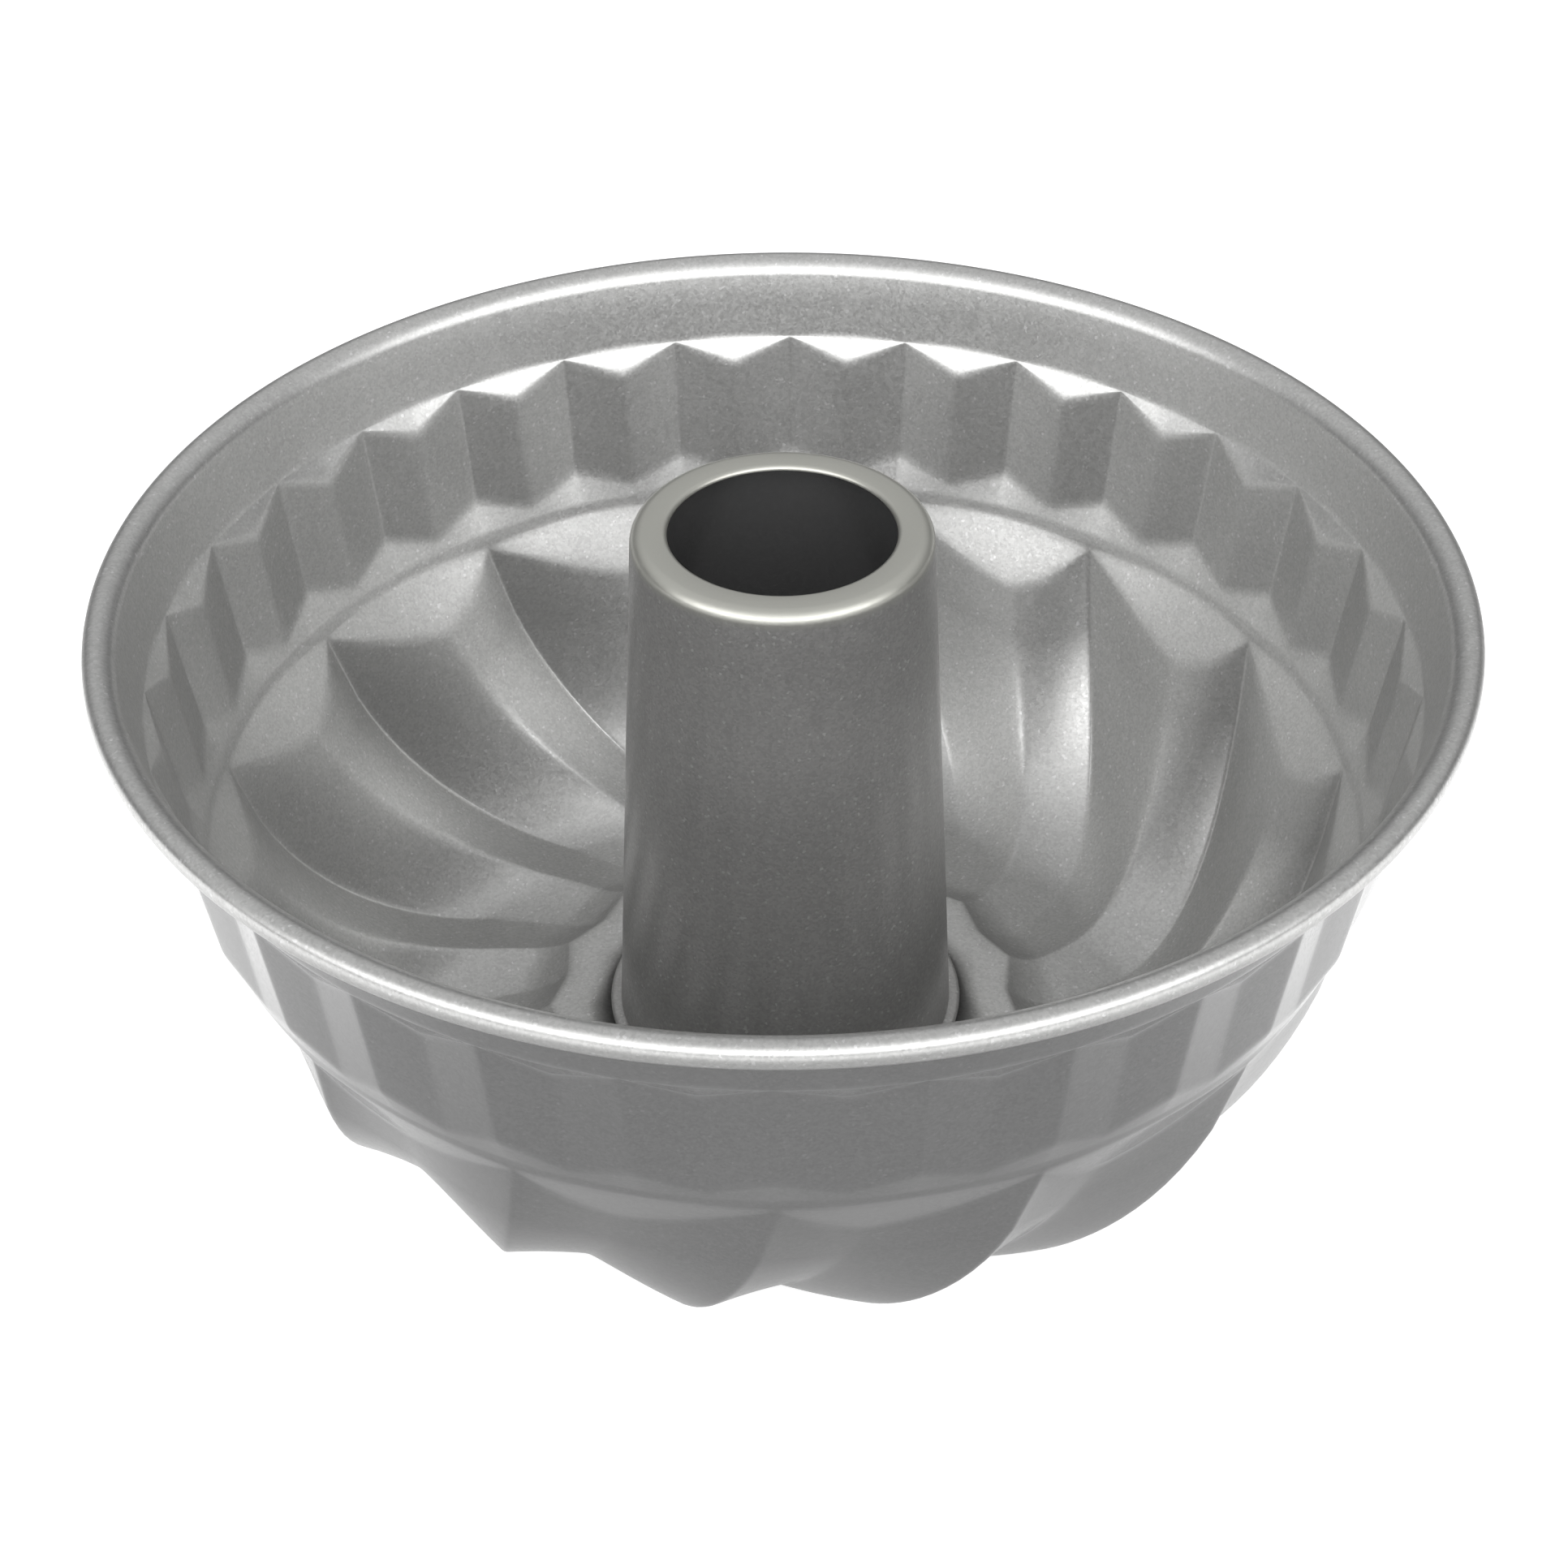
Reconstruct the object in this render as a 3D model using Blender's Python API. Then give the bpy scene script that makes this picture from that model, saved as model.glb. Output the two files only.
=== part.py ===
"""Ring cake pan of coated sheet steel: a deep-drawn fluted shell and a conical centre tube.

Metres, +Z up. The origin is on the pan's axis, in the plane that the pan stands on.
The shell is one sheet. From the rim inwards it has a rolled bead, a plain wall, a band of upright
flutes between two ledges, a small step, and a ring trough of flutes that twist as they run in to
a raised floor. The tube passes through the floor's hole. A fold pressed into the tube lies on the
floor, and the tube's foot is flared out under it, so the floor's edge is held between the two.
The shell is modelled by its inside face, and the tube by the face of its bore.
"""

import math

import bmesh
import bpy

# Sheet and seam
SHEET = 0.0006
SEAM_GAP = 0.0003

# Rim bead and plain wall
RIM_RADIUS = 0.1140
RIM_BEAD_RADIUS = 0.0031
RIM_BEAD_GAP = 0.0007
PLAIN_WALL_DROP = 0.0120
PLAIN_WALL_LEAN = math.radians(15.9)

# Band of upright flutes, from the foot of the plain wall to the step under the band
BAND_FLUTES_PER_TROUGH_FLUTE = 2
LEDGE_MARGIN_DRAW = 0.00015
LEDGE_MARGIN_DROP = 0.0005
UPPER_LEDGE_DRAW = 0.0021
UPPER_LEDGE_DROP = 0.0055
BAND_DRAW = 0.0031
BAND_DROP = 0.0223
LOWER_LEDGE_DRAW = 0.0020
LOWER_LEDGE_DROP = 0.0044
LEDGE_TOE_DRAW = 0.0007
LEDGE_TOE_DROP = 0.0024
STEP_DRAW = 0.0002
STEP_DROP = 0.0019

# Twisted flutes of the ring trough
TROUGH_FLUTES = 15
SHOULDER_DRAW = 0.0009
SHOULDER_DROP = 0.0020
CRESCENT_DRAW = 0.0049
CRESCENT_DROP = 0.0094
TROUGH_DEPTH = 0.0495
VALLEY_ARC_START = math.radians(17.0)
RIDGE_ARC_START = math.radians(27.5)
VALLEY_FLAT = 0.0116
RIDGE_FLAT = 0.0048
RIDGE_LIFT = 0.0023
ROUNDNESS_AT_TIPS = 0.7
ROUNDNESS_AT_FLOOR = -0.5
TWIST = math.radians(26.4)
TWIST_EASE = 0.27
NOSE_RADIUS = 0.0145
LAND_DEPTH = 0.00015

# Raised floor between the trough and the tube
FLOOR_LIFT = 0.0051
FLOOR_WIDTH = 0.0079

# Centre tube
TUBE_HEIGHT = 0.1091
TUBE_FOOT_RADIUS = 0.03035
TUBE_TOP_RADIUS = 0.0256
TUBE_SHOULDER_RADIUS = 0.0036
TUBE_LIP_FLAT = 0.0027
FOLD_REACH = 0.0019
FOLD_SLIT = 0.0003
FLARE_REACH = 0.0029

# Fineness of the facets
COLUMNS_PER_FACET = 2
TUBE_COLUMNS = 40
RIM_BEAD_STEPS = 7
TROUGH_STEPS = 7
NOSE_STEPS = 2
TUBE_SHOULDER_STEPS = 3
FOLD_STEPS = 3
FLARE_STEPS = 2
SHARP_ANGLE = math.radians(18.0)

# Sizes that follow from those above, inwards from the rim and outwards from the tube
COLUMNS_PER_BAND_FLUTE = 2 * COLUMNS_PER_FACET
COLUMNS_PER_TROUGH_FLUTE = BAND_FLUTES_PER_TROUGH_FLUTE * COLUMNS_PER_BAND_FLUTE
SHELL_COLUMNS = TROUGH_FLUTES * COLUMNS_PER_TROUGH_FLUTE
VALLEY_Z = SHEET - LAND_DEPTH
TIP_Z = VALLEY_Z + TROUGH_DEPTH
STEP_Z = TIP_Z + SHOULDER_DROP + STEP_DROP
BAND_BOTTOM_Z = STEP_Z + LEDGE_TOE_DROP + LOWER_LEDGE_DROP
BAND_TOP_Z = BAND_BOTTOM_Z + BAND_DROP
WALL_FOOT_Z = BAND_TOP_Z + LEDGE_MARGIN_DROP
RIM_Z = WALL_FOOT_Z + PLAIN_WALL_DROP
WALL_TOP_RADIUS = RIM_RADIUS - RIM_BEAD_RADIUS * math.cos(PLAIN_WALL_LEAN)
WALL_TOP_Z = RIM_Z + RIM_BEAD_RADIUS * math.sin(PLAIN_WALL_LEAN)
WALL_FOOT_RADIUS = WALL_TOP_RADIUS - (WALL_TOP_Z - WALL_FOOT_Z) * math.tan(PLAIN_WALL_LEAN)
BAND_TOP_RADIUS = WALL_FOOT_RADIUS - LEDGE_MARGIN_DRAW
BAND_BOTTOM_RADIUS = BAND_TOP_RADIUS - BAND_DRAW
STEP_RADIUS = BAND_BOTTOM_RADIUS - LOWER_LEDGE_DRAW - LEDGE_TOE_DRAW
TIP_RADIUS = STEP_RADIUS - STEP_DRAW - SHOULDER_DRAW
FLOOR_Z = FLOOR_LIFT + SHEET
HOLE_RADIUS = TUBE_FOOT_RADIUS + SEAM_GAP
FLOOR_RADIUS = TUBE_FOOT_RADIUS + FLARE_REACH + FLOOR_WIDTH


def mix(a, b, share):
    """Value between a and b."""
    return a + (b - a) * share


def arc(centre, radius, start, end, steps):
    """Points of a circular arc in the plane of radius and height, both ends included."""
    angles = [mix(start, end, step / steps) for step in range(steps + 1)]
    return [(centre[0] + radius * math.cos(a), centre[1] + radius * math.sin(a)) for a in angles]


def offset_path(path, distance):
    """Copy of an open path, moved to the left of its run, with mitred corners."""
    normals = []
    for (r0, z0), (r1, z1) in zip(path, path[1:]):
        length = math.hypot(r1 - r0, z1 - z0)
        normals.append(((z0 - z1) / length, (r1 - r0) / length))
    moved = []
    for index, (r, z) in enumerate(path):
        before = normals[max(index - 1, 0)]
        after = normals[min(index, len(normals) - 1)]
        stretch = distance / (1.0 + before[0] * after[0] + before[1] * after[1])
        moved.append((r + (before[0] + after[0]) * stretch, z + (before[1] + after[1]) * stretch))
    return moved


def on_circle(radius, angle, height):
    """Point at this radius and angle round the pan's axis."""
    return (radius * math.cos(angle), radius * math.sin(angle), height)


def flute_wave(column, columns_per_flute):
    """0 in a flute's valley and 1 on the ridge to its next valley, straight between them."""
    return 1.0 - abs(1.0 - 2.0 * (column % columns_per_flute) / columns_per_flute)


def rounded(wave, roundness):
    """Height across a flute. Above 0 the ridge is rounder and the valley sharper, below 0 not."""
    return wave + roundness * wave * (1.0 - wave)


def across_facet(outer_radius, inner_radius, wave):
    """Radius on the straight line across one flat facet of the band, from groove to ridge."""
    width = math.pi / (TROUGH_FLUTES * BAND_FLUTES_PER_TROUGH_FLUTE)
    spread = outer_radius * math.sin(width * wave) + inner_radius * math.sin(width * (1.0 - wave))
    return outer_radius * inner_radius * math.sin(width) / spread


def nose_turn(rise):
    """Angle that the fillet at the trough's inner side turns through to climb this high."""
    return math.acos(max(1.0 - rise / NOSE_RADIUS, 0.0))


def flute_twist(radius):
    """Angle that the trough's flutes have turned through, clockwise from above, at a radius."""
    share = min(max((TIP_RADIUS - radius) / (TIP_RADIUS - FLOOR_RADIUS), 0.0), 1.0)
    return -TWIST * share * (1.0 + TWIST_EASE - TWIST_EASE * share**4)


def trough_profile(start_radius, start_z, arc_start, flat, bottom_z):
    """Run of a valley or ridge: part of a quarter ellipse, a flat and the fillet to the floor."""
    nose_radius = FLOOR_RADIUS + NOSE_RADIUS * math.sin(nose_turn(FLOOR_Z - VALLEY_Z))
    bottom_radius = nose_radius + flat
    half_width = (start_radius - bottom_radius) / math.cos(arc_start)
    half_height = (start_z - bottom_z) / (1.0 - math.sin(arc_start))
    start_slope = math.atan2(half_height * math.cos(arc_start), half_width * math.sin(arc_start))
    points = []
    for step in range(TROUGH_STEPS + 1):
        slope = mix(start_slope, 0.0, step / TROUGH_STEPS)
        angle = math.atan2(half_height, half_width * math.tan(slope))
        radius = bottom_radius + half_width * math.cos(angle)
        points.append((radius, bottom_z + half_height * (1.0 - math.sin(angle))))
    down = -math.pi / 2
    turn = nose_turn(FLOOR_Z - bottom_z)
    return points + arc((nose_radius, bottom_z + NOSE_RADIUS), NOSE_RADIUS, down, down - turn, NOSE_STEPS)


def bead_path():
    """Rim bead, from its free edge under the rim up, over and down to the plain wall."""
    wall_side = math.pi - PLAIN_WALL_LEAN
    opening = math.acos(1.0 - (RIM_BEAD_GAP + SHEET) / RIM_BEAD_RADIUS)
    free_edge = wall_side + opening - math.tau
    return arc((RIM_RADIUS, RIM_Z), RIM_BEAD_RADIUS, free_edge, wall_side, RIM_BEAD_STEPS)


def band_path(column):
    """Plain wall's foot, the two ledges with the flutes between them, and the step below."""
    wave = flute_wave(column, COLUMNS_PER_BAND_FLUTE)
    upper = across_facet(BAND_TOP_RADIUS, BAND_TOP_RADIUS - UPPER_LEDGE_DRAW, wave)
    lower = across_facet(BAND_BOTTOM_RADIUS, BAND_BOTTOM_RADIUS - LOWER_LEDGE_DRAW, wave)
    return [
        (WALL_FOOT_RADIUS, WALL_FOOT_Z),
        (upper, BAND_TOP_Z - UPPER_LEDGE_DROP * wave),
        (lower, BAND_BOTTOM_Z - LOWER_LEDGE_DROP * wave),
        (STEP_RADIUS, STEP_Z),
        (STEP_RADIUS - STEP_DRAW, STEP_Z - STEP_DROP),
    ]


def trough_path(column):
    """Twisted flutes of the trough at one column, from their tips to the floor's hole."""
    wave = flute_wave(column, COLUMNS_PER_TROUGH_FLUTE)
    valley = trough_profile(TIP_RADIUS, TIP_Z, VALLEY_ARC_START, VALLEY_FLAT, VALLEY_Z)
    ridge_start = (TIP_RADIUS - CRESCENT_DRAW, TIP_Z - CRESCENT_DROP)
    ridge = trough_profile(*ridge_start, RIDGE_ARC_START, RIDGE_FLAT, VALLEY_Z + RIDGE_LIFT)
    path = []
    for row, (low, high) in enumerate(zip(valley, ridge)):
        roundness = mix(ROUNDNESS_AT_TIPS, ROUNDNESS_AT_FLOOR, min(row / TROUGH_STEPS, 1.0))
        height = rounded(wave, roundness)
        path.append((mix(low[0], high[0], height), mix(low[1], high[1], height)))
    return path + [(HOLE_RADIUS, FLOOR_Z)]


def shell_rings():
    """Rings of points on the shell's inside face, from the bead's free edge to the hole."""
    first_tip = -math.pi / 2
    columns = []
    for column in range(SHELL_COLUMNS):
        angle = first_tip + math.tau * column / SHELL_COLUMNS
        path = bead_path() + band_path(column) + trough_path(column)
        columns.append([on_circle(r, angle + flute_twist(r), z) for r, z in path])
    return list(zip(*columns))


def tube_path():
    """Bore face of the tube's sheet, from the mouth over the shoulder down to the flared foot."""
    shoulder = (TUBE_TOP_RADIUS - TUBE_SHOULDER_RADIUS, TUBE_HEIGHT - TUBE_SHOULDER_RADIUS)
    lean = math.atan2(TUBE_FOOT_RADIUS - TUBE_TOP_RADIUS, TUBE_HEIGHT - FLOOR_Z)
    bore_radius = TUBE_FOOT_RADIUS - SHEET
    fold_z = FLOOR_Z + SEAM_GAP + SHEET + FOLD_SLIT / 2
    fold_end = (TUBE_FOOT_RADIUS + FOLD_REACH - SHEET - FOLD_SLIT / 2, fold_z)
    floor_edge = (HOLE_RADIUS, FLOOR_Z - SHEET)
    quarter = math.pi / 2
    path = [(shoulder[0] - TUBE_LIP_FLAT, TUBE_HEIGHT - SHEET)]
    path += arc(shoulder, TUBE_SHOULDER_RADIUS - SHEET, quarter, lean, TUBE_SHOULDER_STEPS)
    path.append((bore_radius, fold_z + FOLD_SLIT / 2))
    path += arc(fold_end, FOLD_SLIT / 2, quarter, -quarter, FOLD_STEPS)
    path.append((bore_radius, fold_z - FOLD_SLIT / 2))
    path += arc(floor_edge, SEAM_GAP + SHEET, math.pi, math.pi + quarter, FLARE_STEPS)
    path.append((TUBE_FOOT_RADIUS + FLARE_REACH, floor_edge[1] - SEAM_GAP - SHEET))
    return path


def tube_rings():
    """Rings of points round the tube's sheet: down its bore face and back up its outer face."""
    outline = tube_path() + offset_path(tube_path(), SHEET)[::-1]
    angles = [math.tau * column / TUBE_COLUMNS for column in range(TUBE_COLUMNS)]
    return [[on_circle(r, angle, z) for angle in angles] for r, z in outline]


def ring_mesh(name, rings, closed):
    """Mesh of quads between each ring of points and the next, smooth except at its creases."""
    shape = bmesh.new()
    loops = [[shape.verts.new(point) for point in ring] for ring in rings]
    if closed:
        loops.append(loops[0])
    for upper, lower in zip(loops, loops[1:]):
        for column in range(len(upper)):
            shape.faces.new((upper[column - 1], upper[column], lower[column], lower[column - 1]))
    mesh = bpy.data.meshes.new(name)
    shape.to_mesh(mesh)
    shape.free()
    mesh.shade_smooth()
    mesh.set_sharp_from_angle(angle=SHARP_ANGLE)
    return mesh


def finish(name, colour, roughness, metallic):
    """Principled material of one coating, with its colour as linear red, green and blue."""
    material = bpy.data.materials.new(name)
    material.use_nodes = True
    shader = material.node_tree.nodes["Principled BSDF"]
    shader.inputs["Base Color"].default_value = (*colour, 1.0)
    shader.inputs["Roughness"].default_value = roughness
    shader.inputs["Metallic"].default_value = metallic
    return material


def add_object(name, mesh, materials=()):
    """Object of this mesh in the scene."""
    for material in materials:
        mesh.materials.append(material)
    item = bpy.data.objects.new(name, mesh)
    bpy.context.collection.objects.link(item)
    return item


def land_cutter():
    """Slab under the plane that the pan stands on. It takes the crests' lowest 0.15 mm."""
    shape = bmesh.new()
    width = 2.2 * (RIM_RADIUS + RIM_BEAD_RADIUS)
    bmesh.ops.create_cube(shape, size=width)
    bmesh.ops.translate(shape, verts=shape.verts, vec=(0.0, 0.0, -width / 2))
    mesh = bpy.data.meshes.new("land_cutter")
    shape.to_mesh(mesh)
    shape.free()
    cutter = add_object("land_cutter", mesh)
    cutter.hide_render = True
    cutter.display_type = "WIRE"
    return cutter


def fluted_shell():
    """Shell: its inside face thickened outwards, with a small flat land on each flute's crest."""
    mesh = ring_mesh("fluted_shell", shell_rings(), closed=False)
    for edge in mesh.edges:
        if max(edge.vertices) < RIM_BEAD_STEPS * SHELL_COLUMNS:
            edge.use_edge_sharp = False
    inside = finish("satin_non_stick_coating", (0.150, 0.150, 0.165), 0.34, 0.75)
    outside = finish("grey_lacquer", (0.190, 0.190, 0.175), 0.22, 0.65)
    shell = add_object("fluted_shell", mesh, (inside, outside))
    sheet = shell.modifiers.new("sheet", "SOLIDIFY")
    sheet.thickness = SHEET
    sheet.offset = -1.0
    sheet.use_even_offset = True
    sheet.use_quality_normals = True
    sheet.material_offset = 1
    lands = shell.modifiers.new("lands", "BOOLEAN")
    lands.operation = "DIFFERENCE"
    lands.solver = "EXACT"
    lands.object = land_cutter()


def centre_tube():
    """Tube: its sheet's closed outline, turned round the axis."""
    mesh = ring_mesh("centre_tube", tube_rings(), closed=True)
    coating = finish("tube_non_stick_coating", (0.120, 0.120, 0.130), 0.36, 0.75)
    add_object("centre_tube", mesh, (coating,))


def main():
    for item in list(bpy.data.objects):
        bpy.data.objects.remove(item, do_unlink=True)
    fluted_shell()
    centre_tube()


main()
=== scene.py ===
import math

import bpy
from mathutils import Matrix, Vector


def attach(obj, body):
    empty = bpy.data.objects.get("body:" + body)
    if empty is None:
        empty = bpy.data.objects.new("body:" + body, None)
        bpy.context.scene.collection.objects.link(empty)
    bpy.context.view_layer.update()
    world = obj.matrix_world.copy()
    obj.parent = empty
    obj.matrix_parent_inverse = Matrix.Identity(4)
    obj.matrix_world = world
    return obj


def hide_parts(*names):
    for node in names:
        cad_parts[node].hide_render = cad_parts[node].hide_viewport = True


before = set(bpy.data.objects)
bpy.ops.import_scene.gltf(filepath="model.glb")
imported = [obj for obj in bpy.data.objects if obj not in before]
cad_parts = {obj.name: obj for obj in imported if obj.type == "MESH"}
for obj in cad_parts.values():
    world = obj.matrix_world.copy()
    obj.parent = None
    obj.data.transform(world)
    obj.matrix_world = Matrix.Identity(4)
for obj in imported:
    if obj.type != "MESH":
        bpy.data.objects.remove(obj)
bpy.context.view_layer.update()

# Fluted shell. One sheet of steel 0.6 mm thick, deep-drawn, then trimmed, and its rim rolled over
# into a hollow bead. It is coated before it is drawn: silver non-stick inside, grey lacquer
# outside. Its shape follows one rule: a profile that sways between grooves and ridges.
sheet = 0.0006

rim_radius = 0.1140
bead_shift = (0.0002, -0.00035)
bead_radii = (0.0032, 0.0025)
bead_tilt = math.radians(44.0)
bead_gap = 0.0007
wall_drop = 0.0120
wall_lean = math.radians(13.5)

ledge_margin = (0.00015, 0.0005)
upper_ledge = (0.0026, 0.0043)
band = (0.0040, 0.0228)
lower_ledge = (0.0020, 0.0041)
ledge_toe = (0.0009, 0.0022)
step = (0.0006, 0.0019)

trough_flutes = 15
band_flutes = 30
shoulder = (0.0005, 0.0025)
crescent = (0.0057, 0.0090)
trough_depth = 0.0490
groove_arc_start = math.radians(17.0)
ridge_arc_start = math.radians(27.5)
groove_flat = 0.0116
ridge_flat = 0.0048
ridge_lift = 0.0023
roundness_at_tips = 0.7
roundness_at_floor = -0.5
twist = math.radians(26.4)
twist_ease = 0.27
nose_radius = 0.0145
land_depth = 0.00015

# Lengths that the bends take off the straight runs beside them
wall_foot_trim = 0.0009
band_trim = 0.0016
step_trim = 0.0006
tip_trim = 0.0014
floor_trim = 0.0009

# Softness of the creases as a share of a facet: of groove and ridge in the band, and in the trough
# of each from the tips to the floor
band_softness = (0.10, 0.30)
trough_groove_softness = (0.05, 0.12)
trough_ridge_softness = (0.30, 0.12)

bead_steps = 21
trough_steps = 24
nose_steps = 8
crescent_share = 0.09

floor_height = 0.0051 + sheet
tube_foot_radius = 0.03035
seam_gap = 0.0003
flare_reach = 0.0029
floor_width = 0.0079

groove_z = sheet - land_depth
tip_z = groove_z + trough_depth
step_z = tip_z + shoulder[1] + step[1]
band_bottom_z = step_z + ledge_toe[1] + lower_ledge[1]
band_top_z = band_bottom_z + band[1]
wall_foot_z = band_top_z + ledge_margin[1]
rim_z = wall_foot_z + wall_drop


def bead_point(angle):
    """Point of the bead's oval section whose normal stands at this angle."""
    wide = bead_radii[0] * math.cos(angle - bead_tilt)
    narrow = bead_radii[1] * math.sin(angle - bead_tilt)
    length = math.hypot(wide, narrow)
    point = Vector((bead_radii[0] * wide, bead_radii[1] * narrow)) / length
    point.rotate(Matrix.Rotation(bead_tilt, 2))
    return (rim_radius + bead_shift[0] + point.x, rim_z + bead_shift[1] + point.y)


wall_top_radius, wall_top_z = bead_point(math.pi - wall_lean)
wall_foot_radius = wall_top_radius - (wall_top_z - wall_foot_z) * math.tan(wall_lean)
band_top_radius = wall_foot_radius - ledge_margin[0]
band_bottom_radius = band_top_radius - band[0]
step_radius = band_bottom_radius - lower_ledge[0] - ledge_toe[0]
tip_radius = step_radius - step[0] - shoulder[0]
floor_radius = tube_foot_radius + flare_reach + floor_width
hole_radius = tube_foot_radius + seam_gap


def mix(a, b, share):
    """Value between a and b."""
    return a + (b - a) * share


def arc(centre, radius, start, end, steps):
    """Points of a circular arc in the plane of radius and height, both ends included."""
    angles = [mix(start, end, i / steps) for i in range(steps + 1)]
    return [(centre[0] + radius * math.cos(a), centre[1] + radius * math.sin(a)) for a in angles]


def bend(before, corner, after, trim, steps):
    """Points of a curve that rounds a corner off, using at most 0.45 of each of its sides."""
    corner = Vector(corner)
    ends = []
    for point in (before, after):
        side = Vector(point) - corner
        ends.append(corner + side.normalized() * min(trim, 0.45 * side.length))
    shares = [i / steps for i in range(steps + 1)]
    return [tuple(ends[0].lerp(corner, s).lerp(corner.lerp(ends[1], s), s)) for s in shares]


def along(start, end, count):
    """This many points spaced evenly between two others."""
    return [tuple(Vector(start).lerp(Vector(end), (i + 1) / (count + 1))) for i in range(count)]


def nose_turn(rise):
    """Angle that the fillet at the trough's inner side turns through to climb this high."""
    return math.acos(max(1.0 - rise / nose_radius, 0.0))


def trough_arc(start, arc_start, flat, bottom_z):
    """Part of a quarter ellipse, as a function of its share, and the points of the fillet at its inner
    end.
    """
    nose_foot = floor_radius + nose_radius * math.sin(nose_turn(floor_height - groove_z))
    bottom_radius = nose_foot + flat
    half_width = (start[0] - bottom_radius) / math.cos(arc_start)
    half_height = (start[1] - bottom_z) / (1.0 - math.sin(arc_start))
    start_slope = math.atan2(half_height * math.cos(arc_start), half_width * math.sin(arc_start))

    def point(share):
        slope = mix(start_slope, 0.0, share)
        angle = math.atan2(half_height, half_width * math.tan(slope))
        radius = bottom_radius + half_width * math.cos(angle)
        return (radius, bottom_z + half_height * (1.0 - math.sin(angle)))

    turn = nose_turn(floor_height - bottom_z)
    down = -math.pi / 2
    centre = (nose_foot, bottom_z + nose_radius)
    return point, arc(centre, nose_radius, down, down - turn, nose_steps)


def shell_profile(ledge_share, trough):
    """Run of the inside face from the bead's free edge to the hole: a groove's or a ridge's.

    Each point is a radius, a height and a share of the trough, which is -1 above the step's foot.
    """
    wall_side = math.pi - wall_lean
    opening = math.acos(1.0 - (bead_gap + sheet) / bead_radii[1])
    free_edge = wall_side + opening - math.tau
    bead_shares = [i / bead_steps for i in range(bead_steps + 1)]
    bead = [bead_point(mix(free_edge, wall_side, share)) for share in bead_shares]
    foot = (wall_foot_radius, wall_foot_z)
    upper = (
        band_top_radius - upper_ledge[0] * ledge_share,
        band_top_z - upper_ledge[1] * ledge_share,
    )
    lower = (
        band_bottom_radius - lower_ledge[0] * ledge_share,
        band_bottom_z - lower_ledge[1] * ledge_share,
    )
    step_top = (step_radius, step_z)
    step_foot = (step_radius - step[0], step_z - step[1])
    curve, nose = trough_arc(*trough)
    start = curve(0.0)
    hole = (hole_radius, floor_height)
    wall_foot = bend(bead[-1], foot, upper, wall_foot_trim, 4)
    band_top = bend(foot, upper, lower, band_trim, 5)
    band_bottom = bend(upper, lower, step_top, band_trim, 5)
    step_edge = bend(lower, step_top, step_foot, step_trim, 3)
    above = bead + along(bead[-1], wall_foot[0], 1) + wall_foot + band_top
    above += along(band_top[-1], band_bottom[0], 3) + band_bottom + step_edge
    crescent_top = bend(step_top, step_foot, start, step_trim, 3)
    crescent_foot = bend(step_foot, start, curve(crescent_share), tip_trim, 4)
    crescents = crescent_top + along(crescent_top[-1], crescent_foot[0], 3) + crescent_foot
    shares = [mix(crescent_share, 1.0, i / trough_steps) for i in range(trough_steps + 1)]
    below = nose[1:-1] + bend(nose[-2], nose[-1], hole, floor_trim, 4) + [hole]
    run = [(*point, -1.0) for point in above]
    run += [(*point, 0.0) for point in crescents]
    run += [(*curve(share), share) for share in shares]
    return run + [(*point, 1.0) for point in below]


def link_object(name, mesh):
    """Object of this mesh, at the origin, in the scene."""
    item = bpy.data.objects.new(name, mesh)
    bpy.context.scene.collection.objects.link(item)
    return item


groove_run = shell_profile(0.0, ((tip_radius, tip_z), groove_arc_start, groove_flat, groove_z))
ridge_start = (tip_radius - crescent[0], tip_z - crescent[1])
ridge_run = shell_profile(1.0, (ridge_start, ridge_arc_start, ridge_flat, groove_z + ridge_lift))

# The profile's points carry the rule: where groove and ridge run, how soft the two creases are as
# a share of a facet, whether the row sways with the band, how round the ridge is, and how flat the
# facet is. Where groove and ridge coincide, as on the rim and the wall, the row is a circle.
profile_mesh = bpy.data.meshes.new("shell_profile")
profile_mesh.from_pydata([(r, 0.0, z) for r, z, share in groove_run], [], [])
rule = {}
for name in ("groove", "ridge", "rule"):
    rule[name] = profile_mesh.attributes.new(name, "FLOAT_VECTOR", "POINT")
for i, (groove_point, ridge_point) in enumerate(zip(groove_run, ridge_run)):
    groove_r, groove_height, share = groove_point
    ridge_r, ridge_height, _ = ridge_point
    in_band = share < 0.0
    groove_softness = band_softness[0] if in_band else mix(*trough_groove_softness, share)
    ridge_softness = band_softness[1] if in_band else mix(*trough_ridge_softness, share)
    roundness = 0.0 if in_band else mix(roundness_at_tips, roundness_at_floor, share)
    rule["groove"].data[i].vector = (groove_r, groove_height, groove_softness)
    rule["ridge"].data[i].vector = (ridge_r, ridge_height, ridge_softness)
    flatness = min((groove_r - ridge_r) / lower_ledge[0], 1.0) if in_band else 0.0
    rule["rule"].data[i].vector = (float(in_band), roundness, flatness)


def add_node(tree, kind, values=None, **settings):
    """Node with its settings, and its sockets set to these values or linked from these sockets."""
    node = tree.nodes.new(kind)
    for setting, value in settings.items():
        setattr(node, setting, value)
    for socket, value in (values or {}).items():
        if isinstance(value, bpy.types.NodeSocket):
            tree.links.new(value, node.inputs[socket])
        else:
            node.inputs[socket].default_value = value
    return node


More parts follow.
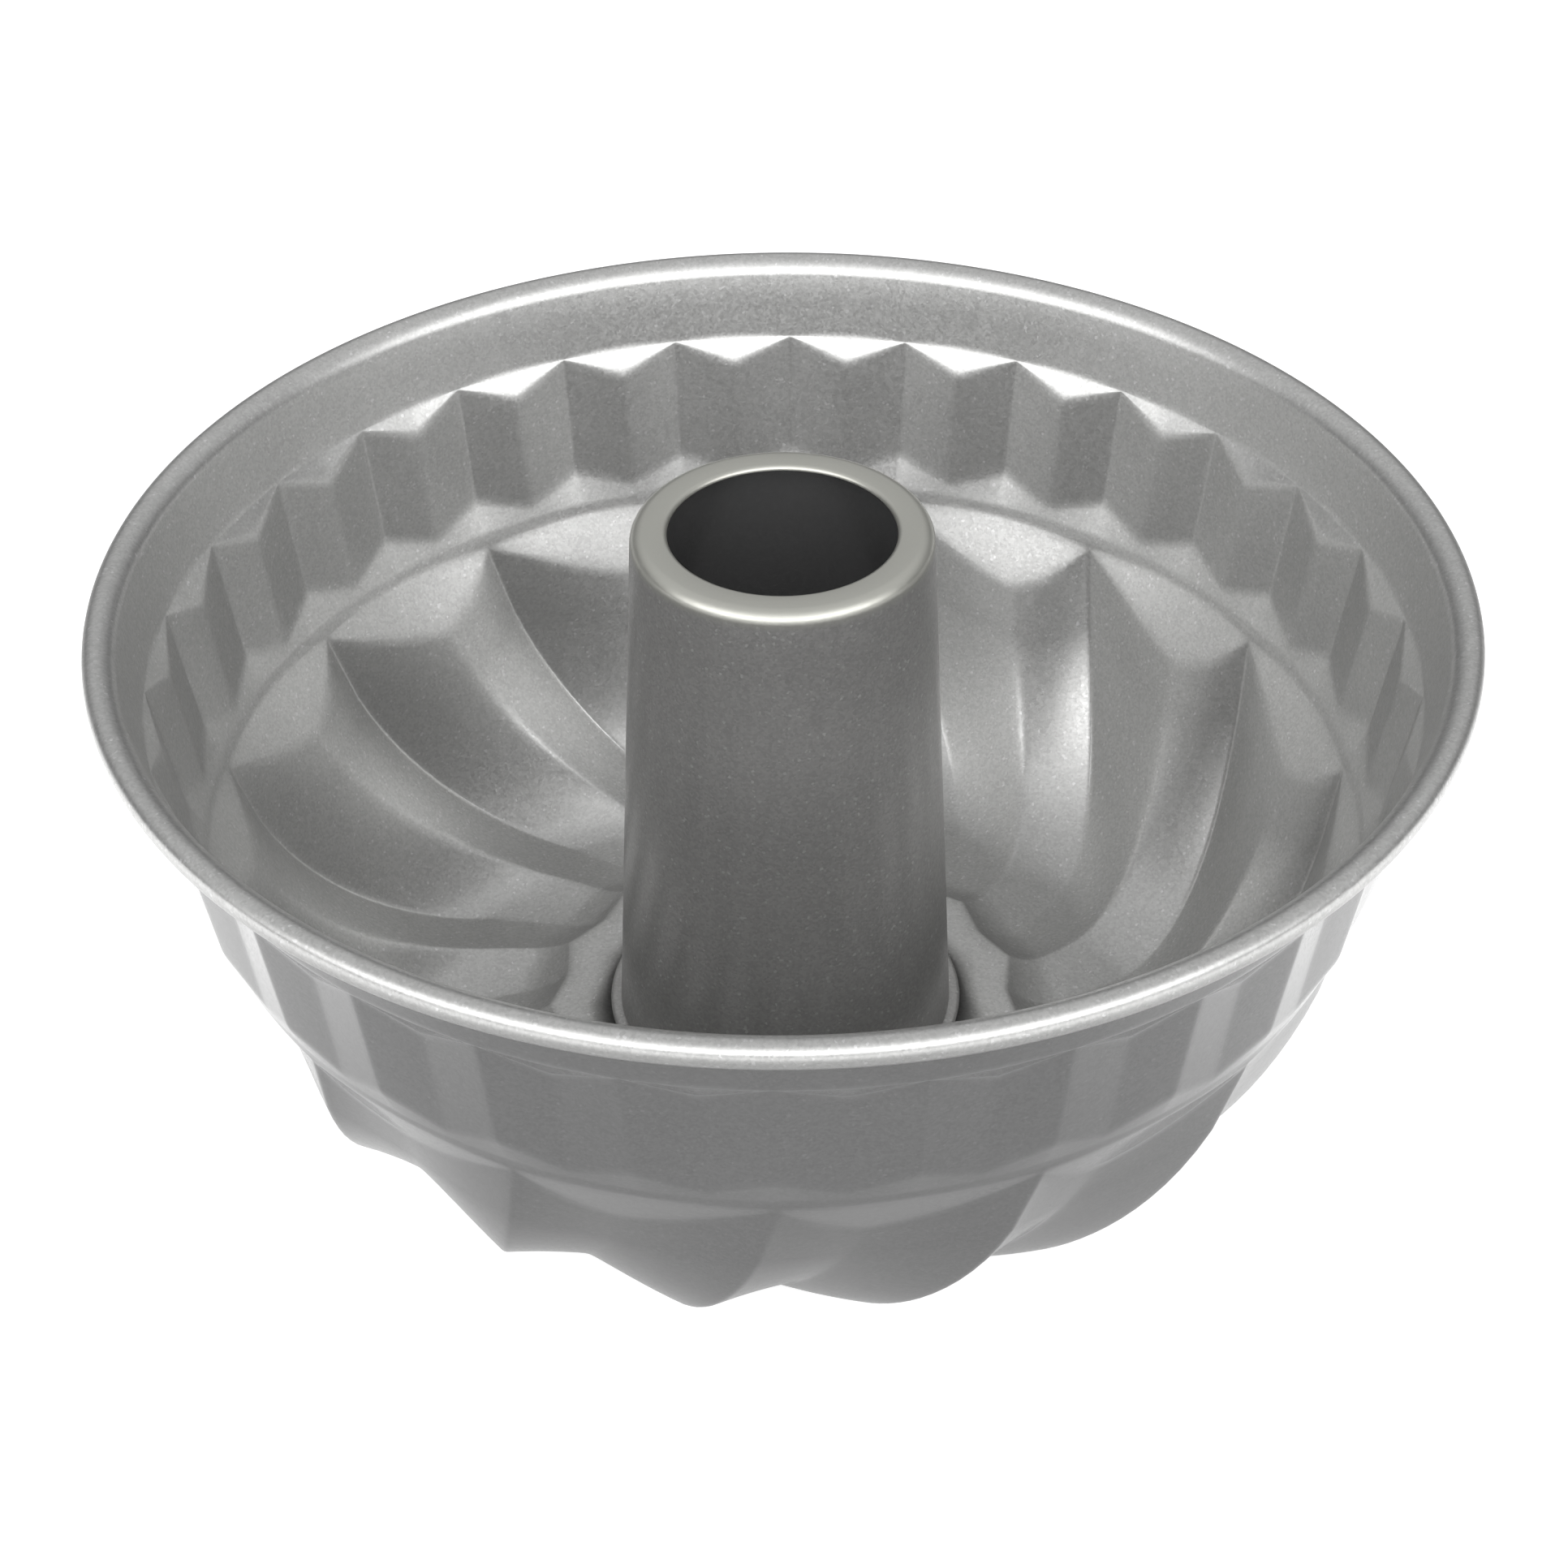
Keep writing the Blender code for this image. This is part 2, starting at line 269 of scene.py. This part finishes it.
fluting = bpy.data.node_groups.new("fluted_sheet", "GeometryNodeTree")
face = fluting.interface
face.new_socket("Profile", in_out="INPUT", socket_type="NodeSocketGeometry")
face.new_socket("Sheet", in_out="OUTPUT", socket_type="NodeSocketGeometry")
sizes = {
    "Band flutes": band_flutes,
    "Trough flutes": trough_flutes,
    "Columns per facet": 8,
    "Crowding": 0.8,
    "Tip radius": tip_radius,
    "Floor radius": floor_radius,
    "Twist": twist,
    "Twist ease": twist_ease,
}
size_sockets = {}
for name, value in sizes.items():
    kind = "NodeSocketInt" if isinstance(value, int) else "NodeSocketFloat"
    size_sockets[name] = face.new_socket(name, in_out="INPUT", socket_type=kind)
finish_socket = face.new_socket("Finish", in_out="INPUT", socket_type="NodeSocketMaterial")
given = add_node(fluting, "NodeGroupInput").outputs
math_node = "ShaderNodeMath"

# A grid of one row per profile point, its columns crowded towards the creases of the facets
rows = add_node(fluting, "GeometryNodeAttributeDomainSize", {0: given["Profile"]}).outputs[0]
facets = add_node(fluting, math_node, {0: given["Band flutes"], 1: 2.0}, operation="MULTIPLY").outputs[0]
around = add_node(
    fluting, math_node, {0: facets, 1: given["Columns per facet"]}, operation="MULTIPLY"
).outputs[0]
columns = add_node(fluting, math_node, {0: around, 1: 1.0}, operation="ADD").outputs[0]
grid = add_node(fluting, "GeometryNodeMeshGrid", {"Vertices X": columns, "Vertices Y": rows}).outputs[0]
index = add_node(fluting, "GeometryNodeInputIndex").outputs[0]
row = add_node(fluting, math_node, {0: index, 1: rows}, operation="MODULO").outputs[0]
column_share = add_node(fluting, math_node, {0: index, 1: rows}, operation="DIVIDE").outputs[0]
column = add_node(fluting, math_node, {0: column_share}, operation="FLOOR").outputs[0]
facet = add_node(
    fluting, math_node, {0: column, 1: given["Columns per facet"]}, operation="DIVIDE"
).outputs[0]
facet_start = add_node(fluting, math_node, {0: facet}, operation="FLOOR").outputs[0]
in_facet = add_node(fluting, math_node, {0: facet}, operation="FRACT").outputs[0]
turn_in_facet = add_node(fluting, math_node, {0: in_facet, 1: math.tau}, operation="MULTIPLY").outputs[0]
swing = add_node(fluting, math_node, {0: turn_in_facet}, operation="SINE").outputs[0]
pull = add_node(fluting, math_node, {0: given["Crowding"], 1: -math.tau}, operation="DIVIDE").outputs[0]
crowded = add_node(
    fluting, math_node, {0: swing, 1: pull, 2: in_facet}, operation="MULTIPLY_ADD"
).outputs[0]
place = add_node(fluting, math_node, {0: facet_start, 1: crowded}, operation="ADD").outputs[0]

# The rule of each row
samples = {}
for name in ("groove", "ridge", "rule"):
    stored = add_node(fluting, "GeometryNodeInputNamedAttribute", {0: name}, data_type="FLOAT_VECTOR")
    sample = add_node(
        fluting,
        "GeometryNodeSampleIndex",
        {"Geometry": given["Profile"], "Value": stored.outputs[0], "Index": row},
        data_type="FLOAT_VECTOR",
    )
    samples[name] = add_node(fluting, "ShaderNodeSeparateXYZ", {0: sample.outputs[0]}).outputs
in_band, roundness, flatness = samples["rule"]

# How far each point is from its groove, 0, to its ridge, 1, with the two creases softened
band_wave = add_node(fluting, math_node, {0: place, 1: 1.0}, operation="PINGPONG").outputs[0]
flutes_ratio = add_node(
    fluting, math_node, {0: given["Trough flutes"], 1: given["Band flutes"]}, operation="DIVIDE"
).outputs[0]
trough_place = add_node(fluting, math_node, {0: place, 1: flutes_ratio}, operation="MULTIPLY").outputs[0]
trough_wave = add_node(fluting, math_node, {0: trough_place, 1: 1.0}, operation="PINGPONG").outputs[0]
wave = add_node(fluting, "ShaderNodeMix", {0: in_band, 2: trough_wave, 3: band_wave}).outputs[0]
mirrored = add_node(fluting, math_node, {0: wave, 1: -1.0}, operation="MULTIPLY").outputs[0]
grooved = add_node(
    fluting, math_node, {0: wave, 1: mirrored, 2: samples["groove"][2]}, operation="SMOOTH_MAX"
).outputs[0]
beyond = add_node(fluting, math_node, {0: 2.0, 1: grooved}, operation="SUBTRACT").outputs[0]
soft = add_node(
    fluting, math_node, {0: grooved, 1: beyond, 2: samples["ridge"][2]}, operation="SMOOTH_MIN"
).outputs[0]
left = add_node(fluting, math_node, {0: 1.0, 1: soft}, operation="SUBTRACT").outputs[0]
crown = add_node(fluting, math_node, {0: soft, 1: left}, operation="MULTIPLY").outputs[0]
height = add_node(
    fluting, math_node, {0: crown, 1: roundness, 2: soft}, operation="MULTIPLY_ADD"
).outputs[0]

# Radius and height of each point. A facet of the band is flat, so there the radius follows the
# straight line from groove to ridge.
near_radius = add_node(
    fluting, "ShaderNodeMix", {0: height, 2: samples["groove"][0], 3: samples["ridge"][0]}
).outputs[0]
level = add_node(
    fluting, "ShaderNodeMix", {0: height, 2: samples["groove"][1], 3: samples["ridge"][1]}
).outputs[0]
facet_angle = add_node(fluting, math_node, {0: math.tau, 1: facets}, operation="DIVIDE").outputs[0]
angle_done = add_node(fluting, math_node, {0: facet_angle, 1: soft}, operation="MULTIPLY").outputs[0]
angle_left = add_node(fluting, math_node, {0: facet_angle, 1: left}, operation="MULTIPLY").outputs[0]
sine_whole = add_node(fluting, math_node, {0: facet_angle}, operation="SINE").outputs[0]
sine_done = add_node(fluting, math_node, {0: angle_done}, operation="SINE").outputs[0]
sine_left = add_node(fluting, math_node, {0: angle_left}, operation="SINE").outputs[0]
ridge_part = add_node(
    fluting, math_node, {0: samples["ridge"][0], 1: sine_left}, operation="MULTIPLY"
).outputs[0]
spread = add_node(
    fluting, math_node, {0: samples["groove"][0], 1: sine_done, 2: ridge_part}, operation="MULTIPLY_ADD"
).outputs[0]
product = add_node(
    fluting, math_node, {0: samples["groove"][0], 1: samples["ridge"][0]}, operation="MULTIPLY"
).outputs[0]
scaled = add_node(fluting, math_node, {0: product, 1: sine_whole}, operation="MULTIPLY").outputs[0]
line_radius = add_node(fluting, math_node, {0: scaled, 1: spread}, operation="DIVIDE").outputs[0]
radius = add_node(fluting, "ShaderNodeMix", {0: flatness, 2: near_radius, 3: line_radius}).outputs[0]

# The trough's flutes turn clockwise from above as they run in, less and less
run_in = add_node(
    fluting,
    "ShaderNodeMapRange",
    {0: radius, 1: given["Tip radius"], 2: given["Floor radius"], 3: 0.0, 4: 1.0},
).outputs[0]
fourth = add_node(fluting, math_node, {0: run_in, 1: 4.0}, operation="POWER").outputs[0]
eased = add_node(fluting, math_node, {0: 1.0, 1: fourth}, operation="SUBTRACT").outputs[0]
gain = add_node(
    fluting, math_node, {0: given["Twist ease"], 1: eased, 2: 1.0}, operation="MULTIPLY_ADD"
).outputs[0]
turned_share = add_node(fluting, math_node, {0: run_in, 1: gain}, operation="MULTIPLY").outputs[0]
turned = add_node(
    fluting, math_node, {0: turned_share, 1: given["Twist"]}, operation="MULTIPLY"
).outputs[0]
first = add_node(fluting, math_node, {0: turned, 1: math.pi / 2}, operation="ADD").outputs[0]
at_place = add_node(fluting, math_node, {0: place, 1: facet_angle}, operation="MULTIPLY").outputs[0]
angle = add_node(fluting, math_node, {0: at_place, 1: first}, operation="SUBTRACT").outputs[0]
cosine = add_node(fluting, math_node, {0: angle}, operation="COSINE").outputs[0]
sine = add_node(fluting, math_node, {0: angle}, operation="SINE").outputs[0]
x = add_node(fluting, math_node, {0: radius, 1: cosine}, operation="MULTIPLY").outputs[0]
y = add_node(fluting, math_node, {0: radius, 1: sine}, operation="MULTIPLY").outputs[0]
spot = add_node(fluting, "ShaderNodeCombineXYZ", {0: x, 1: y, 2: level}).outputs[0]
placed = add_node(fluting, "GeometryNodeSetPosition", {"Geometry": grid, "Position": spot}).outputs[0]
welded = add_node(
    fluting, "GeometryNodeMergeByDistance", {"Geometry": placed, "Distance": 1e-6}
).outputs[0]
smooth = add_node(fluting, "GeometryNodeSetShadeSmooth", {"Geometry": welded}).outputs[0]
real = add_node(fluting, "GeometryNodeRealizeInstances", {"Geometry": smooth}).outputs[0]
finished = add_node(
    fluting, "GeometryNodeSetMaterial", {"Geometry": real, "Material": given["Finish"]}
).outputs[0]
add_node(fluting, "NodeGroupOutput", {0: finished})


def linear(hex_colour):
    """Linear colour, with 1 for its alpha, from an sRGB hex value."""
    channels = [int(hex_colour[i : i + 2], 16) / 255 for i in (1, 3, 5)]
    return (*[c / 12.92 if c <= 0.04045 else ((c + 0.055) / 1.055) ** 2.4 for c in channels], 1.0)


def flaked_coating(name, dark, light, painted_glint_colour, metallic, roughness):
    """Baked coating with metal flake: each flake lies at its own tilt, and a few carry painted glints.
    """
    material = bpy.data.materials.new(name)
    material.use_nodes = True
    tree = material.node_tree
    shader = tree.nodes["Principled BSDF"]
    place = add_node(tree, "ShaderNodeTexCoord").outputs["Object"]
    # Real flakes are 0.02 to 0.05 mm across. They are drawn 0.45 mm across, so that they show.
    flake_width = 0.00045
    flakes = add_node(tree, "ShaderNodeTexVoronoi", {"Vector": place, "Scale": 1 / flake_width})
    lot = add_node(tree, "ShaderNodeSeparateColor", {0: flakes.outputs["Color"]}).outputs
    # Sprayed coats vary a little in thickness over 20 to 30 mm.
    cloud_width = 0.025
    cloud = add_node(
        tree, "ShaderNodeTexNoise", {"Vector": place, "Scale": 1 / cloud_width, "Detail": 3.0}
    )
    tone = add_node(tree, "ShaderNodeMix", {0: 0.5, 2: lot[0], 3: cloud.outputs[0]}).outputs[0]
    body = add_node(
        tree, "ShaderNodeMix", {0: tone, 6: linear(dark), 7: linear(light)}, data_type="RGBA"
    ).outputs[2]
    # A few flakes are painted lighter: a painted glint.
    painted_glint = add_node(
        tree, "ShaderNodeMapRange", {0: lot[1], 1: 0.96, 2: 1.0, 3: 0.0, 4: 0.35}
    ).outputs[0]
    colour = add_node(
        tree, "ShaderNodeMix", {0: painted_glint, 6: body, 7: linear(painted_glint_colour)}, data_type="RGBA"
    ).outputs[2]
    tree.links.new(colour, shader.inputs["Base Color"])
    rough = add_node(
        tree, "ShaderNodeMapRange", {0: lot[2], 3: roughness - 0.05, 4: roughness + 0.05}
    ).outputs[0]
    tree.links.new(rough, shader.inputs["Roughness"])
    # The flakes are drawn up to 0.02 mm proud of each other in the dry film.
    grain = add_node(
        tree, "ShaderNodeBump", {"Strength": 0.25, "Distance": 0.00002, "Height": lot[0]}
    ).outputs[0]
    tree.links.new(grain, shader.inputs["Normal"])
    shader.inputs["Metallic"].default_value = metallic
    return material


# Silver non-stick coating, sprayed and baked: a satin grey film with fine sparkle, partly from flake
# tilts, partly painted glints.
inside_finish = flaked_coating(
    "satin_silver_non_stick", "#9a9a99", "#b6b6b5", "#dededf", metallic=0.82, roughness=0.34
)
# Grey bakeware lacquer, roller-coated on the other side: smoother, so that it mirrors more sharply.
outside_finish = flaked_coating(
    "grey_back_lacquer", "#707070", "#7e7e7e", "#8e8e8e", metallic=0.8, roughness=0.13
)

profile_mesh.materials.append(inside_finish)
profile_mesh.materials.append(outside_finish)
shell = link_object("drawn_shell", profile_mesh)
fluting_modifier = shell.modifiers.new("fluting", "NODES")
fluting_modifier.node_group = fluting
for name, value in sizes.items():
    fluting_modifier[size_sockets[name].identifier] = value
fluting_modifier[finish_socket.identifier] = inside_finish
sheet_modifier = shell.modifiers.new("sheet", "SOLIDIFY")
sheet_modifier.thickness = sheet
sheet_modifier.offset = -1.0
sheet_modifier.use_even_offset = True
sheet_modifier.use_quality_normals = True
sheet_modifier.material_offset = -1
drawn = bpy.data.meshes.new_from_object(
    shell.evaluated_get(bpy.context.evaluated_depsgraph_get()), preserve_all_data_layers=False
)
shell.modifiers.clear()
shell.data = drawn
drawn.name = "drawn_shell"
# The tree leaves the first slot empty, and the outside, one slot below the inside, takes it.
drawn.materials[0] = outside_finish
# The flutes' crests are pressed flat where they stand, so the lands all lie in one plane.
for vertex in drawn.vertices:
    vertex.co.z = max(vertex.co.z, 0.0)
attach(shell, "root")
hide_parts("fluted_shell")

# Centre tube. One drawn cone of the same sheet, coated on both sides. Its mouth is turned in to a
# flat lip with a rounded edge. A fold pressed out of it lies on the floor, and its foot is flared
# out under the floor, so that the floor's edge is held between the two.
tube_height = 0.1091
tube_top_radius = 0.0256
tube_shoulder_radius = 0.0023
mouth_radius = 0.0193
lip_curl = 0.0009
fold_reach = 0.0019
fold_slit = 0.0003
tube_columns = 160
small_bend_steps = 6
shoulder_steps = 12


def offset_run(run, distance):
    """Copy of an open run of points, moved to its left, with mitred corners."""
    normals = []
    for (r0, z0), (r1, z1) in zip(run, run[1:]):
        length = math.hypot(r1 - r0, z1 - z0)
        normals.append(((z0 - z1) / length, (r1 - r0) / length))
    moved = []
    for i, (r, z) in enumerate(run):
        before, after = normals[max(i - 1, 0)], normals[min(i, len(normals) - 1)]
        stretch = distance / (1.0 + before[0] * after[0] + before[1] * after[1])
        moved.append((r + (before[0] + after[0]) * stretch, z + (before[1] + after[1]) * stretch))
    return moved


shoulder_centre = (tube_top_radius - tube_shoulder_radius, tube_height - tube_shoulder_radius)
tube_lean = math.atan2(tube_foot_radius - tube_top_radius, tube_height - floor_height)
bore_radius = tube_foot_radius - sheet
fold_z = floor_height + seam_gap + sheet + fold_slit / 2
fold_end = (tube_foot_radius + fold_reach - sheet - fold_slit / 2, fold_z)
floor_edge = (hole_radius, floor_height - sheet)
quarter = math.pi / 2
curl_centre = (mouth_radius + lip_curl, tube_height - lip_curl)
bore = arc(curl_centre, lip_curl - sheet, math.pi, quarter, small_bend_steps)
bore += arc(shoulder_centre, tube_shoulder_radius - sheet, quarter, tube_lean, shoulder_steps)
bore.append((bore_radius, fold_z + fold_slit / 2))
bore += arc(fold_end, fold_slit / 2, quarter, -quarter, small_bend_steps)
bore.append((bore_radius, fold_z - fold_slit / 2))
bore += arc(floor_edge, seam_gap + sheet, math.pi, math.pi + quarter, small_bend_steps)
bore.append((tube_foot_radius + flare_reach, floor_edge[1] - seam_gap - sheet))
outline = bore + offset_run(bore, sheet)[::-1]
turns = [math.tau * i / tube_columns for i in range(tube_columns)]
tube_points = [(r * math.cos(a), r * math.sin(a), z) for r, z in outline for a in turns]
tube_faces = []
for i in range(len(outline)):
    upper, lower = i * tube_columns, (i + 1) % len(outline) * tube_columns
    for j in range(tube_columns):
        k = (j + 1) % tube_columns
        tube_faces.append((upper + j, upper + k, lower + k, lower + j))
tube_mesh = bpy.data.meshes.new("centre_cone")
tube_mesh.from_pydata(tube_points, [], tube_faces)
tube_mesh.shade_smooth()
tube_mesh.set_sharp_from_angle(angle=math.radians(50.0))
tube = link_object("centre_cone", tube_mesh)
# The same silver non-stick, darker on the cone, and the back lacquer in the bore.
cone_finish = flaked_coating(
    "satin_silver_non_stick_cone", "#878786", "#a2a1a0", "#d0d0d0", metallic=0.75, roughness=0.34
)
# The shoulder and the lip are painted lighter than the cone: a painted highlight.
cone_tree = cone_finish.node_tree
cone_colour = cone_tree.nodes["Principled BSDF"].inputs["Base Color"]
cone_place = add_node(cone_tree, "ShaderNodeTexCoord").outputs["Object"]
cone_height = add_node(cone_tree, "ShaderNodeSeparateXYZ", {0: cone_place}).outputs[2]
painted_lip_highlight = add_node(
    cone_tree,
    "ShaderNodeMapRange",
    {0: cone_height, 1: tube_height - 0.0035, 2: tube_height - 0.0012},
    interpolation_type="SMOOTHSTEP",
).outputs[0]
lip_highlight_colour = add_node(
    cone_tree,
    "ShaderNodeMix",
    {0: painted_lip_highlight, 6: cone_colour.links[0].from_socket, 7: linear("#a3a39d")},
    data_type="RGBA",
).outputs[2]
cone_tree.links.new(lip_highlight_colour, cone_colour)
tube_mesh.materials.append(cone_finish)
tube_mesh.materials.append(outside_finish)
bore_faces = (len(bore) - 1) * tube_columns
for polygon in tube_mesh.polygons:
    polygon.material_index = int(polygon.index < bore_faces)
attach(tube, "root")
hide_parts("centre_tube")

# Table. A plain white sweep that the camera sees as pure white. What the metal mirrors of it is a
# painted glow: dim close to the pan's front, as a painted shadow of the pan, and fading away behind it.
floor_mesh = bpy.data.meshes.new("white_table")
reach = 6.0
floor_corners = [(-reach, -reach, 0), (reach, -reach, 0), (reach, reach, 0), (-reach, reach, 0)]
floor_mesh.from_pydata(floor_corners, [], [(0, 1, 2, 3)])
table = link_object("white_table", floor_mesh)
table_finish = bpy.data.materials.new("white_paper")
table_finish.use_nodes = True
paper = table_finish.node_tree
paper.nodes.clear()
rays = add_node(paper, "ShaderNodeLightPath").outputs
spot = add_node(paper, "ShaderNodeNewGeometry").outputs["Position"]
# Centre of the painted shadow of the pan, seen only in what the metal mirrors.
shade_centre = (0.0, -0.13, 0.0)
away_from_shade = add_node(
    paper, "ShaderNodeVectorMath", {0: spot, 1: shade_centre}, operation="DISTANCE"
).outputs["Value"]
unshaded = add_node(
    paper,
    "ShaderNodeMapRange",
    {0: away_from_shade, 1: 0.06, 2: 0.30, 3: 0.3, 4: 1.7},
    interpolation_type="SMOOTHSTEP",
).outputs[0]
depth = add_node(paper, "ShaderNodeSeparateXYZ", {0: spot}).outputs[1]
front = add_node(
    paper,
    "ShaderNodeMapRange",
    {0: depth, 1: 0.25, 2: 0.0, 3: 0.0, 4: 1.0},
    interpolation_type="SMOOTHSTEP",
).outputs[0]
lit = add_node(paper, "ShaderNodeMath", {0: unshaded, 1: front}, operation="MULTIPLY").outputs[0]
mirrored = add_node(
    paper, "ShaderNodeMath", {0: rays["Is Glossy Ray"], 1: lit}, operation="MULTIPLY"
).outputs[0]
lift = add_node(
    paper, "ShaderNodeMath", {0: rays["Is Camera Ray"], 1: 0.8, 2: mirrored}, operation="MULTIPLY_ADD"
).outputs[0]
matt = add_node(paper, "ShaderNodeBsdfDiffuse", {0: linear("#a4a4a4")}).outputs[0]
glow = add_node(paper, "ShaderNodeEmission", {0: (1.0, 1.0, 1.0, 1.0), 1: lift}).outputs[0]
both = add_node(paper, "ShaderNodeAddShader", {0: matt, 1: glow}).outputs[0]
add_node(paper, "ShaderNodeOutputMaterial", {0: both})
floor_mesh.materials.append(table_finish)

# Light. A room whose wall behind the camera is one wide soft window. It grows from 8 to 16 degrees
# up, is full to 30, fades to 70, and is full about 60 degrees to each side. The rest of the room is
# dark near the table and grows lighter overhead.
world = bpy.data.worlds.new("pale_room")
bpy.context.scene.world = world
world.use_nodes = True
room = world.node_tree
direction = add_node(room, "ShaderNodeTexCoord").outputs["Generated"]
compass = add_node(room, "ShaderNodeSeparateXYZ", {0: direction}).outputs
frontal = add_node(
    room,
    "ShaderNodeMapRange",
    {0: compass[1], 1: 0.05, 2: -0.50, 3: 0.0, 4: 1.0},
    interpolation_type="SMOOTHSTEP",
).outputs[0]
sill = add_node(
    room,
    "ShaderNodeMapRange",
    {0: compass[2], 1: 0.13, 2: 0.27, 3: 0.0, 4: 1.0},
    interpolation_type="SMOOTHSTEP",
).outputs[0]
fading = add_node(
    room,
    "ShaderNodeMapRange",
    {0: compass[2], 1: 0.50, 2: 0.94, 3: 3.85, 4: 0.7},
    interpolation_type="SMOOTHSTEP",
).outputs[0]
window = add_node(room, "ShaderNodeMath", {0: sill, 1: fading}, operation="MULTIPLY").outputs[0]
walls = add_node(
    room,
    "ShaderNodeMapRange",
    {0: compass[2], 1: 0.10, 2: 0.72, 3: 0.10, 4: 0.85},
    interpolation_type="SMOOTHSTEP",
).outputs[0]
strength = add_node(
    room, "ShaderNodeMath", {0: frontal, 1: window, 2: walls}, operation="MULTIPLY_ADD"
).outputs[0]
room.links.new(strength, room.nodes["Background"].inputs["Strength"])
room.nodes["Background"].inputs["Color"].default_value = (1.0, 1.0, 1.0, 1.0)

# Camera, at the photograph's place
camera_distance = 0.58876
aim_below_rim = 0.04013
azimuth, elevation = math.radians(-89.05), math.radians(37.612)
tilt_of_horizon = math.radians(-0.358)
camera_data = bpy.data.cameras.new("camera")
camera_data.lens = 76.58
camera_data.sensor_width = 36.0
camera = bpy.data.objects.new("camera", camera_data)
bpy.context.scene.collection.objects.link(camera)
aim = Vector((0.0, 0.0, rim_z - aim_below_rim))
away = Vector(
    (
        math.cos(elevation) * math.cos(azimuth),
        math.cos(elevation) * math.sin(azimuth),
        math.sin(elevation),
    )
)
turned_to_aim = (-away).to_track_quat("-Z", "Y").to_matrix().to_4x4()
roll = Matrix.Rotation(tilt_of_horizon, 4, "Z")
camera.matrix_world = Matrix.Translation(aim + away * camera_distance) @ turned_to_aim @ roll
bpy.context.scene.camera = camera
bpy.context.scene.view_settings.view_transform = "Standard"
